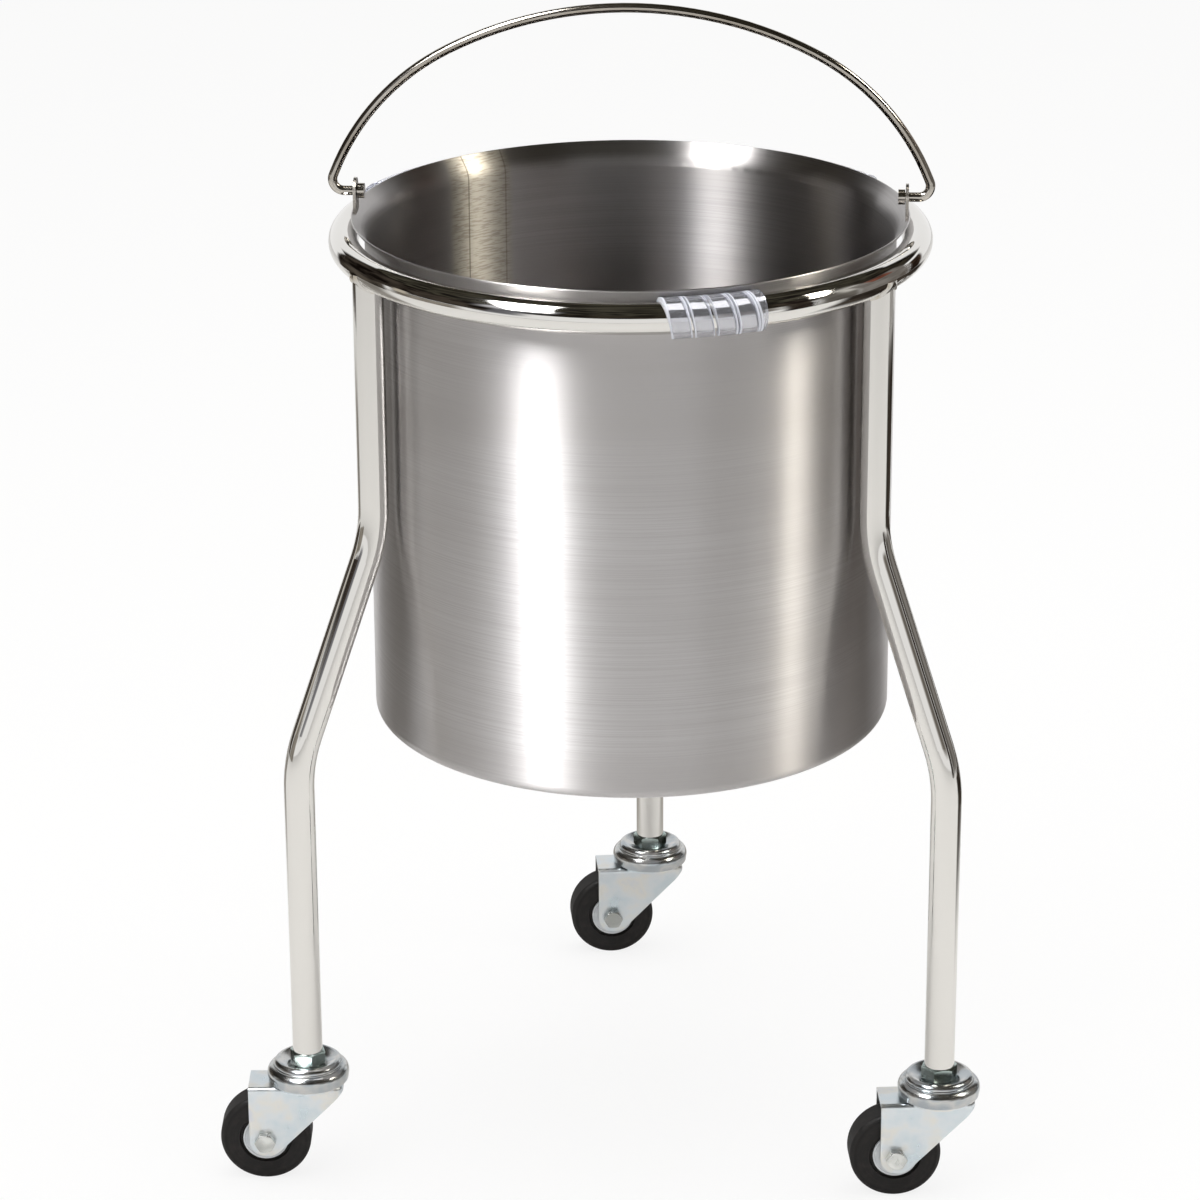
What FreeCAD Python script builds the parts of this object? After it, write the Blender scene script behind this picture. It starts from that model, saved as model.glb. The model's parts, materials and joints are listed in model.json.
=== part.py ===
import FreeCAD, Part
import math
import os

# A surgical kick bucket: a straight-walled stainless pail that hangs by its flared rim in a
# polished tube ring, on three cranked legs with swivel casters.
# Millimetres. The origin is on the floor under the ring's axis, +Z is up, the bail turns about X
# and the rear leg stands on +Y.

# ---- driving dimensions ----

# frame tube
tubeRadius = 8.0
tubeWall = 1.5
ringRadius = 149.5          # axis of the ring tube
ringHeight = 503.0
footRadius = 196.0          # axis of the caster stems
legEndHeight = 74.3         # lower end of the leg tube
upperBendHeight = 362.0     # where the straight runs of a leg would meet
lowerBendHeight = 242.0
legBendRadius = 80.0
legAzimuths = {"rear": 90.0, "left": 210.0, "right": 330.0}
weldSize = 1.2

# clear spiral wraps that the pail's rim sits on
wrapGap = 0.1
wrapThickness = 2.3
wrapAngle = 20.4            # degrees of the ring that one wrap covers
wrapPitch = 11.0
wrapSlot = 0.5              # gap between two turns at the ends of a wrap
wrapStretch = 1.6           # how much wider the gap is in the middle, where the wrap is pulled apart
wrapSteps = 12              # sections per turn of the cut
wrapStart = 175.0           # degrees round the tube where the first turn begins, 0 is outwards
wrapAzimuths = {"front": 288.0, "right": 44.0, "left": 147.0}

# pail
sheet = 1.0
seatGap = 0.4               # between the rim's underside and the wraps
baseHeight = 240.9
baseCorner = 6.0
baseFlange = 14.0           # height of the base pan, where it is welded to the wall
lipTurn = 40.0              # degrees that the rim turns round the ring before it runs straight
lipLength = 6.5

# ears and bail
pivotHeight = 525.0
earThickness = 1.5
earWidth = 14.0
earInset = 0.2              # from the edge of the lip to the ear's outer face
wireRadius = 2.5
wireClearance = 0.08
bailTopRadius = 207.5
bailTopTurn = 27.0          # degrees of the top arc each side of the middle
bailSideRadius = 127.5
bailSideTurn = 68.0         # direction of the wire where the side arc ends
bailHeight = 98.3           # from the pivot to the middle of the wire at the top
bailCornerRadius = 6.0
headRadius = 4.0
headLength = 3.5
headGap = 0.4

# caster
swivelTurns = {"rear": 8.5, "left": 3.5, "right": 6.5}   # degrees, 0 trails towards -X
trail = 23.5
wheelRadius = 24.5
tyreWidth = 17.5
tyreShoulder = 2.5
tyreGroove = 1.5            # width and depth of the groove between the tyre's face and the hub
grooveFlare = 0.5           # how much wider the groove is at the tyre's face
hubRadius = 12.2
hubWidth = 17.7
hubDish = 0.4               # how far the hub's face lies behind its rim
hubLip = 0.8                # flat width of that rim
hubBossRadius = 7.0
hubBossWidth = 19.2
forkTop = 56.0
forkPlate = 2.0
forkHalfWidth = 12.0
forkFront = 19.0
forkFoot = 9.4              # radius of the fork's foot
forkFootShift = 0.9         # the foot's centre stands so far in front of the axle
forkFrontCorner = 6.0
forkBend = 2.5
bossTop = 62.8              # pressed-up ball track of the fork
bossRadius = 16.5
bossFootRadius = 18.6
boltRadius = 3.0
boltHeadFlats = 10.0
boltHeadHeight = 4.0
nutHeight = 5.0
threadEnd = 2.0
bushRadius = 4.5
runningClearance = 0.06
stemRadius = 5.0
stemTop = 97.0
hexFlats = 17.0
hexBottom = 66.5
hexChamfer = 0.35
hexTurns = {"rear": 3.0, "left": -10.0, "right": 13.0}
plugTop = 106.0
coverSheet = 1.2
coverFloor = 9.4            # flat bottom of the cover's funnel, clamped under the hexagon
coverCrest = (15.3, 69.2)   # radius and height of points on the cover's outside, from the crest
coverWaist = (18.3, 66.7)   # of its upper bead down to its lower edge
coverRib = (18.8, 65.7)
coverSkirt = (22.0, 60.6)
coverEdge = (21.6, 57.6)
funnelRise = 0.25           # how far the arcs between these points stand out from their chords
upperBeadRise = 0.75
ribRise = 0.45
lowerBeadRise = 1.15
ballRadius = 2.5
ballCount = 9
ballCircle = 14.8
ballGap = 0.3
trackDepth = 0.6            # how deep the ball track is pressed into the fork's boss
washerRadius = 11.0
washerThickness = 2.0
rivetRadius = 7.0           # riveted end of the kingpin
rivetHeight = 2.0
rivetTaper = 1.0

# every cutting shape stands so far past what it cuts
margin = 1.0
tolerance = 0.01

# ---- worked out from them ----

seatRadius = tubeRadius + wrapGap + wrapThickness + seatGap
wallRadius = ringRadius - seatRadius
axleHeight = wheelRadius
forkInner = forkHalfWidth - forkPlate
forkBack = -trail + forkFootShift - forkFoot
origin = FreeCAD.Vector(0, 0, 0)
zAxis = FreeCAD.Vector(0, 0, 1)


def vec(x, y, z):
    return FreeCAD.Vector(x, y, z)


def polar(centre, radius, angle):
    """Point of a flat outline, angle in degrees from its first axis."""
    a = math.radians(angle)
    return (centre[0] + radius * math.cos(a), centre[1] + radius * math.sin(a))


def outline(start, steps, lift):
    """Closed wire from a start point. A step is the next point, or a pair for an arc: a point on
    the arc and its end. lift turns a flat point into a point in space."""
    edges = []
    here = start
    for step in steps:
        if isinstance(step[0], tuple):
            through, end = step
            edges.append(Part.Arc(lift(here), lift(through), lift(end)).toShape())
        else:
            end = step
            edges.append(Part.LineSegment(lift(here), lift(end)).toShape())
        here = end
    if math.dist(here, start) > tolerance:
        edges.append(Part.LineSegment(lift(here), lift(start)).toShape())
    return Part.Wire(edges)


def arched(start, end, rise):
    """Arc step from start to end whose middle stands rise to the left of the chord."""
    across = (end[0] - start[0], end[1] - start[1])
    share = rise / math.hypot(*across)
    return ((start[0] + across[0] / 2 - across[1] * share,
             start[1] + across[1] / 2 + across[0] * share), end)


def radial(point):
    """A flat point as radius and height in the XZ plane."""
    return vec(point[0], 0, point[1])


def turned(start, steps):
    """Solid of revolution about Z from a closed outline of radius and height."""
    return Part.Face(outline(start, steps, radial)).revolve(origin, zAxis, 360)


def rod(radius, low, high):
    return Part.makeCylinder(radius, high - low, vec(0, 0, low))


def crossRod(radius, x, z, low, high):
    """Cylinder along Y."""
    return Part.makeCylinder(radius, high - low, vec(x, low, z), vec(0, 1, 0))


def hexagon(flats, low, high, chamfer):
    """Upright hexagonal prism with chamfered corners on both ends."""
    corner = flats / math.sqrt(3)
    points = [vec(*polar((0, 0), corner, 60 * i), low) for i in range(7)]
    prism = Part.Face(Part.makePolygon(points)).extrude(vec(0, 0, high - low))
    rise = (corner - flats / 2 + chamfer) * math.tan(math.radians(30))
    inner = flats / 2 - chamfer
    outer = inner + rise / math.tan(math.radians(30))
    barrel = turned((0, low), [(inner, low), (outer, low + rise), (outer, high - rise),
                               (inner, high), (0, high)])
    return prism.common(barrel)


def onFoot(shape, leg, turn=0.0):
    """Move a caster piece from its own stem axis to the foot of a leg."""
    foot = polar((0, 0), footRadius, legAzimuths[leg])
    placed = shape.copy()
    placed.rotate(origin, zAxis, turn)
    placed.translate(vec(foot[0], foot[1], 0))
    return placed


# ---- frame ----

def ringTube():
    outer = Part.makeTorus(ringRadius, tubeRadius, vec(0, 0, ringHeight))
    return outer.cut(Part.makeTorus(ringRadius, tubeRadius - tubeWall, vec(0, 0, ringHeight)))


def legPath(azimuth):
    """Centre line of a leg, from the ring's axis down to its end."""
    def lift(point):
        flat = polar((0, 0), point[0], azimuth)
        return vec(flat[0], flat[1], point[1])

    lean = math.atan2(footRadius - ringRadius, upperBendHeight - lowerBendHeight)
    tangent = legBendRadius * math.tan(lean / 2)
    outward = math.sin(lean)
    down = math.cos(lean)
    upperCentre = (ringRadius + legBendRadius, upperBendHeight + tangent)
    lowerCentre = (footRadius - legBendRadius, lowerBendHeight - tangent)
    half = math.degrees(lean) / 2
    upperEnd = (ringRadius + tangent * outward, upperBendHeight - tangent * down)
    lowerStart = (footRadius - tangent * outward, lowerBendHeight + tangent * down)
    points = [(ringRadius, ringHeight), (ringRadius, upperCentre[1]), upperEnd, lowerStart,
              (footRadius, lowerCentre[1]), (footRadius, legEndHeight)]
    upperMiddle = polar(upperCentre, legBendRadius, 180 + half)
    lowerMiddle = polar(lowerCentre, legBendRadius, half)
    edges = [Part.LineSegment(lift(points[0]), lift(points[1])).toShape(),
             Part.Arc(lift(points[1]), lift(upperMiddle), lift(points[2])).toShape(),
             Part.LineSegment(lift(points[2]), lift(points[3])).toShape(),
             Part.Arc(lift(points[3]), lift(lowerMiddle), lift(points[4])).toShape(),
             Part.LineSegment(lift(points[4]), lift(points[5])).toShape()]
    return Part.Wire(edges)


def sweptRound(path, radius, direction):
    """Round bar of the given radius along a path that starts in the given direction."""
    start = path.OrderedVertexes[0].Point
    section = Part.Wire(Part.Circle(start, direction, radius).toShape())
    return path.makePipeShell([section], True, False)


def leg(azimuth, ring):
    """Bent tube, coped to the underside of the ring."""
    path = legPath(azimuth)
    tube = sweptRound(path, tubeRadius, zAxis)
    tube = tube.cut(sweptRound(path, tubeRadius - tubeWall, zAxis))
    return tube.cut(ring)


def weldCollar(azimuth, ringSolid):
    """Fillet weld round the coped joint of a leg and the ring."""
    top = polar((0, 0), ringRadius, azimuth)
    reach = 2 * tubeRadius
    sleeve = Part.makeCylinder(tubeRadius + weldSize, reach, vec(top[0], top[1], ringHeight - reach))
    band = Part.makeTorus(ringRadius, tubeRadius + weldSize, vec(0, 0, ringHeight))
    tube = Part.makeCylinder(tubeRadius, reach, vec(top[0], top[1], ringHeight - reach))
    return sleeve.common(band).cut(tube).cut(ringSolid)


def spiralWrap(azimuth):
    """Clear strip wound onto the ring as a helix, cut off square where it starts."""
    inner = tubeRadius + wrapGap
    start = azimuth - wrapAngle / 2
    middle = vec(*polar((0, 0), ringRadius, start), ringHeight)
    tangent = vec(*polar((0, 0), 1, start + 90), 0)
    bars = []
    for radius in (inner + wrapThickness, inner):
        disc = Part.Face(Part.Wire(Part.Circle(middle, tangent, radius).toShape()))
        bars.append(disc.revolve(origin, zAxis, wrapAngle))
    return bars[0].cut(bars[1]).common(wrapRibbon(start))


def wrapRibbon(start):
    """The helix that a wrap is trimmed to. It is one pitch wide less the slot between two turns,
    and runs on past the far end of the wrap."""
    inner = tubeRadius + wrapGap - margin
    outer = tubeRadius + wrapGap + wrapThickness + margin
    steps = math.radians(wrapAngle) * ringRadius / wrapPitch * wrapSteps

    def edge(step, side):
        share = min(step / steps, 1)
        wide = wrapSlot + wrapStretch * math.sin(math.pi * share) ** 4
        return start + wrapAngle * step / steps + side * math.degrees(wide / 2 / ringRadius)

    sections = []
    for i in range(math.ceil(steps) + 2):
        around = wrapStart - 360 * i / wrapSteps
        left = edge(i, 1)
        right = edge(i + wrapSteps, -1)
        corners = []
        for side, radius in ((left, inner), (right, inner), (right, outer), (left, outer)):
            cross = polar((ringRadius, ringHeight), radius, around)
            flat = polar((0, 0), cross[0], side)
            corners.append(vec(flat[0], flat[1], cross[1]))
        sections.append(Part.makePolygon(corners + corners[:1]))
    return Part.makeLoft(sections, True, False)


# ---- pail ----

def lipPoint(radius, along):
    """Point of the rim at a radius from the ring's axis, and so far along its straight lip."""
    a = math.radians(lipTurn)
    x = ringRadius - radius * math.cos(a) + along * math.sin(a)
    z = ringHeight + radius * math.sin(a) + along * math.cos(a)
    return (x, z)


def pailWall():
    """Straight wall whose rim curls out over the ring and ends in a short straight lip."""
    outer = seatRadius
    inner = seatRadius + sheet
    axis = (ringRadius, ringHeight)
    low = baseHeight + baseFlange
    half = 180 - lipTurn / 2
    return turned((wallRadius, low), [
        (wallRadius, ringHeight),
        (polar(axis, outer, half), lipPoint(outer, 0)),
        lipPoint(outer, lipLength),
        (lipPoint(outer + sheet / 2, lipLength + sheet / 2), lipPoint(inner, lipLength)),
        lipPoint(inner, 0),
        (polar(axis, inner, half), (wallRadius - sheet, ringHeight)),
        (wallRadius - sheet, low)])


def pailBase():
    """Flat pan with a rounded corner and a short flange that the wall is welded to."""
    top = baseHeight + baseFlange
    centre = (wallRadius - baseCorner, baseHeight + baseCorner)
    return turned((0, baseHeight), [
        (centre[0], baseHeight),
        (polar(centre, baseCorner, -45), (wallRadius, centre[1])),
        (wallRadius, top),
        (wallRadius - sheet, top),
        (wallRadius - sheet, centre[1]),
        (polar(centre, baseCorner - sheet, -45), (centre[0], baseHeight + sheet)),
        (0, baseHeight + sheet)])


def earOuter():
    return lipPoint(seatRadius + sheet, lipLength)[0] - earInset


def ear(wall):
    """Flat lug with a round top, welded upright onto the lip on the +X side."""
    outer = earOuter()
    halfWidth = earWidth / 2
    foot = lipPoint(seatRadius, 0)[1]

    def lift(point):
        return vec(outer - earThickness, point[0], point[1])

    wire = outline((-halfWidth, foot), [
        (halfWidth, foot),
        (halfWidth, pivotHeight),
        ((0, pivotHeight + halfWidth), (-halfWidth, pivotHeight))], lift)
    plate = Part.Face(wire).extrude(vec(earThickness, 0, 0))
    hole = Part.makeCylinder(wireRadius + wireClearance, earThickness + 2 * margin,
                             vec(outer - earThickness - margin, 0, pivotHeight), vec(1, 0, 0))
    return trimmedAbove(plate.cut(hole).cut(wall))


def trimmedAbove(shape):
    """The uppermost solid of a shape that a cut has parted."""
    return max(shape.Solids, key=lambda solid: solid.BoundBox.ZMax)


def bail():
    """Round wire in an arch of three arcs, turned in through the ears and upset to a head."""
    headFace = earOuter() - earThickness - headGap
    topCentre = (0, pivotHeight + bailHeight - bailTopRadius)
    shoulder = polar(topCentre, bailTopRadius, 90 - bailTopTurn)
    sideCentre = polar(shoulder, bailSideRadius, 270 - bailTopTurn)
    sideEnd = polar(sideCentre, bailSideRadius, 90 - bailSideTurn)
    sideMiddle = polar(sideCentre, bailSideRadius, 90 - (bailTopTurn + bailSideTurn) / 2)
    slope = math.radians(bailSideTurn)
    cornerHeight = pivotHeight + bailCornerRadius
    drop = sideEnd[1] - (cornerHeight + bailCornerRadius * math.cos(slope))
    cornerStart = (sideEnd[0] + drop / math.tan(slope), sideEnd[1] - drop)
    cornerCentre = polar(cornerStart, bailCornerRadius, 270 - bailSideTurn)
    cornerMiddle = polar(cornerCentre, bailCornerRadius, -bailSideTurn / 2)
    cornerEnd = (cornerCentre[0], pivotHeight)

    def mirrored(point):
        return (-point[0], point[1])

    def line(a, b):
        return Part.LineSegment(radial(a), radial(b)).toShape()

    def arc(a, b, c):
        return Part.Arc(radial(a), radial(b), radial(c)).toShape()

    pin = (headFace, pivotHeight)
    top = (0, pivotHeight + bailHeight)
    edges = [line(mirrored(pin), mirrored(cornerEnd)),
             arc(mirrored(cornerEnd), mirrored(cornerMiddle), mirrored(cornerStart)),
             line(mirrored(cornerStart), mirrored(sideEnd)),
             arc(mirrored(sideEnd), mirrored(sideMiddle), mirrored(shoulder)),
             arc(mirrored(shoulder), top, shoulder),
             arc(shoulder, sideMiddle, sideEnd),
             line(sideEnd, cornerStart),
             arc(cornerStart, cornerMiddle, cornerEnd),
             line(cornerEnd, pin)]
    wire = sweptRound(Part.Wire(edges), wireRadius, vec(-1, 0, 0))
    for side in (-1, 1):
        head = Part.makeCylinder(headRadius, headLength, vec(side * headFace, 0, pivotHeight),
                                 vec(-side, 0, 0))
        wire = wire.fuse(head)
    return wire.removeSplitter()


# ---- caster, each piece about its own stem axis, trailing towards -X ----

def legPlug():
    """Threaded plug pressed into the end of the leg."""
    bore = rod(stemRadius, legEndHeight, stemTop)
    return rod(tubeRadius - tubeWall, legEndHeight, plugTop).cut(bore)


def casterStem():
    """Threaded stem, hexagon and kingpin in one, riveted over under the washer."""
    washerTop = bossTop - forkPlate - ballGap
    rivetTop = washerTop - washerThickness
    stem = hexagon(hexFlats, hexBottom, legEndHeight, hexChamfer)
    stem = stem.fuse(rod(stemRadius, rivetTop, stemTop))
    rivetEnd = rivetTop - rivetHeight
    rivet = turned((0, rivetTop), [(rivetRadius, rivetTop), (rivetRadius - rivetTaper, rivetEnd),
                                   (0, rivetEnd)])
    return stem.fuse(rivet).removeSplitter()


def casterCover():
    """Pressed dome with a funnel round the hexagon and two beads with a fine rib between them."""
    t = coverSheet
    floor = (coverFloor, hexBottom)
    edgeUnder = (coverEdge[0] - t, coverEdge[1])
    skirtUnder = (coverSkirt[0] - t, coverSkirt[1])
    ribUnder = polar(coverRib, t, 225)
    crestUnder = (coverCrest[0], coverCrest[1] - t)
    floorUnder = (coverFloor + t / 2, hexBottom - t)
    return turned((stemRadius, hexBottom), [
        floor,
        arched(floor, coverCrest, funnelRise),
        arched(coverCrest, coverWaist, upperBeadRise),
        arched(coverWaist, coverRib, ribRise),
        arched(coverRib, coverSkirt, lowerBeadRise),
        coverEdge,
        edgeUnder,
        skirtUnder,
        arched(skirtUnder, ribUnder, -lowerBeadRise),
        arched(ribUnder, crestUnder, -upperBeadRise),
        arched(crestUnder, floorUnder, -funnelRise),
        (stemRadius, hexBottom - t)])


def ballRing():
    """Balls between the cover's crest and the fork's track."""
    height = bossTop - trackDepth + ballGap + ballRadius
    balls = []
    for i in range(ballCount):
        place = polar((0, 0), ballCircle, 360 * i / ballCount)
        balls.append(Part.makeSphere(ballRadius, vec(place[0], place[1], height)))
    return Part.makeCompound(balls)


def swivelWasher():
    """Hardened washer that holds the fork up on the kingpin."""
    top = bossTop - forkPlate - ballGap
    return rod(washerRadius, top - washerThickness, top).cut(rod(stemRadius, 0, top + margin))


def forkSide():
    """Side outline of the fork: square at the back, a round foot, and a front edge that rises
    from it at 45 degrees."""
    foot = (-trail + forkFootShift, axleHeight)
    tangent = polar(foot, forkFoot, -45)
    lowest = polar(foot, forkFoot, -90)
    return outline((forkBack, forkTop), [
        (forkBack, axleHeight),
        (lowest, tangent),
        (forkFront, tangent[1] + forkFront - tangent[0]),
        (forkFront, forkTop)], lambda p: vec(p[0], -forkHalfWidth, p[1]))


def forkPlan(halfWidth, front, corner, high):
    """Prism of the fork's plan: open square back, two rounded corners in front."""
    back = forkBack - margin
    nose = (front - corner, halfWidth - corner)
    flat = outline((back, -halfWidth), [
        (nose[0], -halfWidth),
        (polar((nose[0], -nose[1]), corner, -45), (front, -nose[1])),
        (front, nose[1]),
        (polar(nose, corner, 45), (nose[0], halfWidth)),
        (back, halfWidth)], lambda p: vec(p[0], p[1], 0))
    return Part.Face(flat).extrude(vec(0, 0, high))


def fork():
    """Pressed steel fork: one bent plate with rounded edges and a raised ball track."""
    body = forkPlan(forkHalfWidth, forkFront, forkFrontCorner, forkTop)
    edges = [edge for edge in body.Edges if bendsOver(edge)]
    body = body.makeFillet(forkBend, edges)
    body = body.common(Part.Face(forkSide()).extrude(vec(0, 2 * forkHalfWidth, 0)))
    body = body.cut(forkPlan(forkInner, forkFront - forkPlate, forkFrontCorner - forkPlate,
                             forkTop - forkPlate))
    under = bossTop - forkPlate
    boss = turned((0, forkTop - forkPlate / 2), [(bossFootRadius, forkTop - forkPlate / 2),
                                                 (bossFootRadius, forkTop),
                                                 (bossRadius, bossTop), (0, bossTop)])
    hollow = turned((0, forkTop - forkPlate), [(bossFootRadius - forkPlate, forkTop - forkPlate),
                                               (bossRadius - forkPlate, under), (0, under)])
    track = Part.makeTorus(ballCircle, ballRadius, vec(0, 0, bossTop - trackDepth + ballRadius))
    body = body.fuse(boss).cut(hollow).cut(track)
    body = body.cut(rod(stemRadius + runningClearance, 0, bossTop + margin))
    hole = crossRod(boltRadius, -trail, axleHeight, -2 * forkHalfWidth, 2 * forkHalfWidth)
    return body.cut(hole).removeSplitter()


def bendsOver(edge):
    """True for the top edges that the plate is bent along: all but the back one."""
    box = edge.BoundBox
    return box.ZMin > forkTop - tolerance and box.XMax > forkBack


def axleBush():
    """Steel sleeve that the bolt clamps between the fork's plates; the wheel turns on it."""
    sleeve = crossRod(bushRadius, -trail, axleHeight, -forkInner, forkInner)
    return sleeve.cut(crossRod(boltRadius, -trail, axleHeight, -forkHalfWidth, forkHalfWidth))


def crossHexagon(height, base, direction):
    """Bolt head or nut with its axis along Y, seated on the plane y = base."""
    piece = hexagon(boltHeadFlats, 0, height, hexChamfer)
    piece.rotate(origin, vec(1, 0, 0), -90 * direction)
    piece.translate(vec(-trail, base, axleHeight))
    return piece


def axleBolt():
    head = crossHexagon(boltHeadHeight, -forkHalfWidth, -1)
    end = forkHalfWidth + nutHeight + threadEnd
    return head.fuse(crossRod(boltRadius, -trail, axleHeight, -forkHalfWidth, end)).removeSplitter()


def axleNut():
    nut = crossHexagon(nutHeight, forkHalfWidth, 1)
    return nut.cut(crossRod(boltRadius, -trail, axleHeight, 0, 2 * forkHalfWidth))


def acrossAxle(shape):
    """Lay a turned wheel piece, made about Z, on the axle along Y."""
    shape.rotate(origin, vec(1, 0, 0), 90)
    shape.translate(vec(-trail, 0, axleHeight))
    return shape


def wheelHub():
    """Moulded hub with nearly flat faces and a boss that runs against the fork."""
    bore = bushRadius + runningClearance
    rim = hubWidth / 2
    boss = hubBossWidth / 2
    web = rim - hubDish
    lip = hubRadius - hubLip
    return acrossAxle(turned((bore, -boss), [
        (hubBossRadius, -boss), (hubBossRadius, -web), (lip - hubDish, -web),
        (lip, -rim), (hubRadius, -rim), (hubRadius, rim),
        (lip, rim), (lip - hubDish, web), (hubBossRadius, web),
        (hubBossRadius, boss), (bore, boss)]))


def wheelTyre():
    """Solid rubber tyre with rounded shoulders and a groove in each face beside the hub."""
    half = tyreWidth / 2
    s = tyreShoulder
    floor = half - tyreGroove
    groove = hubRadius + tyreGroove
    diagonal = s * (1 - math.sqrt(0.5))
    return acrossAxle(turned((hubRadius, -floor), [
        (groove, -floor), (groove + grooveFlare, -half), (wheelRadius - s, -half),
        ((wheelRadius - diagonal, -half + diagonal), (wheelRadius, -half + s)),
        (wheelRadius, half - s),
        ((wheelRadius - diagonal, half - diagonal), (wheelRadius - s, half)),
        (groove + grooveFlare, half), (groove, floor), (hubRadius, floor)]))


# ---- build and write ----

def buildAll():
    ring = ringTube()
    ringSolid = Part.makeTorus(ringRadius, tubeRadius, vec(0, 0, ringHeight))
    wall = pailWall()
    rightEar = ear(wall)
    leftEar = rightEar.mirror(origin, vec(1, 0, 0))
    nodes = {"ring_tube": ring, "pail_wall": wall, "pail_base": pailBase(),
             "ear_right": rightEar, "ear_left": leftEar, "bail": bail()}
    for side, azimuth in wrapAzimuths.items():
        nodes["spiral_wrap_" + side] = spiralWrap(azimuth)
    fixed = {"leg_plug": legPlug(), "caster_stem": casterStem(), "caster_cover": casterCover(),
             "swivel_balls": ballRing(), "swivel_washer": swivelWasher()}
    turning = {"fork": fork(), "axle_bush": axleBush(), "axle_bolt": axleBolt(),
               "axle_nut": axleNut(), "wheel_hub": wheelHub(), "wheel_tyre": wheelTyre()}
    for side, azimuth in legAzimuths.items():
        nodes["leg_" + side] = leg(azimuth, ringSolid)
        nodes["leg_weld_" + side] = weldCollar(azimuth, ringSolid)
        for name, shape in fixed.items():
            nodes[name + "_" + side] = onFoot(shape, side, hexTurns[side])
        for name, shape in turning.items():
            nodes[name + "_" + side] = onFoot(shape, side, swivelTurns[side])
    return nodes


os.makedirs("parts", exist_ok=True)
for name, shape in buildAll().items():
    shape.exportStep("parts/" + name + ".step")
    print(name, "solids", len(shape.Solids), "volume", round(shape.Volume, 1),
          "valid", shape.isValid())
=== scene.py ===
import json
import math

import bpy
from mathutils import Matrix, Vector

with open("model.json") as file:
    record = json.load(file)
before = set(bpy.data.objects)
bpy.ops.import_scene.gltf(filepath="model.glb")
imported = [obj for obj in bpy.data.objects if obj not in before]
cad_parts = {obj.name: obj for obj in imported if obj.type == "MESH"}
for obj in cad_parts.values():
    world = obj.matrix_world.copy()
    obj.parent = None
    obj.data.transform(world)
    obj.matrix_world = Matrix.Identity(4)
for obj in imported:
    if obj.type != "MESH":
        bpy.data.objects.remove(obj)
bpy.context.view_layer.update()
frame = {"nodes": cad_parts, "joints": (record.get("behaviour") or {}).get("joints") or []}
nodes = frame["nodes"]
joints = {joint["name"]: joint for joint in frame["joints"]}
corners = ("rear", "left", "right")
print("frame loaded:", len(nodes), "nodes")


# small helpers that every material uses

def linearColour(hexText):  # sRGB hex to the linear values that the shaders take
    def channel(part):
        level = int(part, 16) / 255
        return level / 12.92 if level <= 0.04045 else ((level + 0.055) / 1.055) ** 2.4
    return [channel(hexText[start:start + 2]) for start in (1, 3, 5)] + [1]


def perMillimetre(size):  # a texture scale whose pattern repeats about every size millimetres
    return 1000 / size


noiseSpan = {"From Min": 0.3, "From Max": 0.7}   # nearly all of a noise's values lie between these


def startMaterial(name):
    material = bpy.data.materials.new(name)
    material.use_nodes = True
    material.node_tree.nodes.clear()
    return material


def addNode(material, kind, inputs=None, stops=(), **settings):
    # inputs maps a socket's name or number to a value, to a link, or to a node whose first live output it takes;
    # stops are a colour ramp's (place, hex colour) pairs
    tree = material.node_tree
    made = tree.nodes.new("ShaderNode" + kind)
    for name, value in settings.items():
        setattr(made, name, value)
    for name, value in (inputs or {}).items():
        if isinstance(value, bpy.types.Node):
            value = next(output for output in value.outputs if output.enabled)
        if isinstance(value, bpy.types.NodeSocket):
            tree.links.new(value, made.inputs[name])
        else:
            made.inputs[name].default_value = value
    for stop in stops[1:-1]:
        made.color_ramp.elements.new(stop[0])
    for number, (place, hexText) in enumerate(stops):
        made.color_ramp.elements[number].position = place
        made.color_ramp.elements[number].color = linearColour(hexText)
    return made


def finishMaterial(material, shader):
    addNode(material, "OutputMaterial", {"Surface": shader})
    return material


def dress(names, material):
    for name in names:
        for slot in nodes[name].material_slots:
            slot.material = material


def ofEach(pieces):  # the three corners' nodes of each of these pieces
    return [piece + "_" + corner for piece in pieces for corner in corners]


# camera

view = {
    "place": (0.1183, -2.1194, 1.1098),   # m
    "down": 20.91,           # degrees that the lens looks down
    "heading": 3.65,         # degrees that it is turned to the left
    "roll": -0.29,           # degrees
    "lens": 126.4,           # mm
    "sensor": 36,            # mm
    "clip": (0.05, 50),      # m
}


def addCamera():
    data = bpy.data.cameras.new("camera")
    data.lens = view["lens"]
    data.sensor_width = view["sensor"]
    data.clip_start, data.clip_end = view["clip"]
    camera = bpy.data.objects.new("camera", data)
    bpy.context.scene.collection.objects.link(camera)
    turn = Matrix.Rotation(math.radians(view["heading"]), 4, "Z")
    tip = Matrix.Rotation(math.radians(90 - view["down"]), 4, "X")
    roll = Matrix.Rotation(math.radians(view["roll"]), 4, "Z")
    camera.matrix_world = Matrix.Translation(view["place"]) @ turn @ tip @ roll
    bpy.context.scene.camera = camera


addCamera()
print("camera placed")


# studio: a white paper floor in a dark room, two softboxes, and screens that only reflections see

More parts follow.
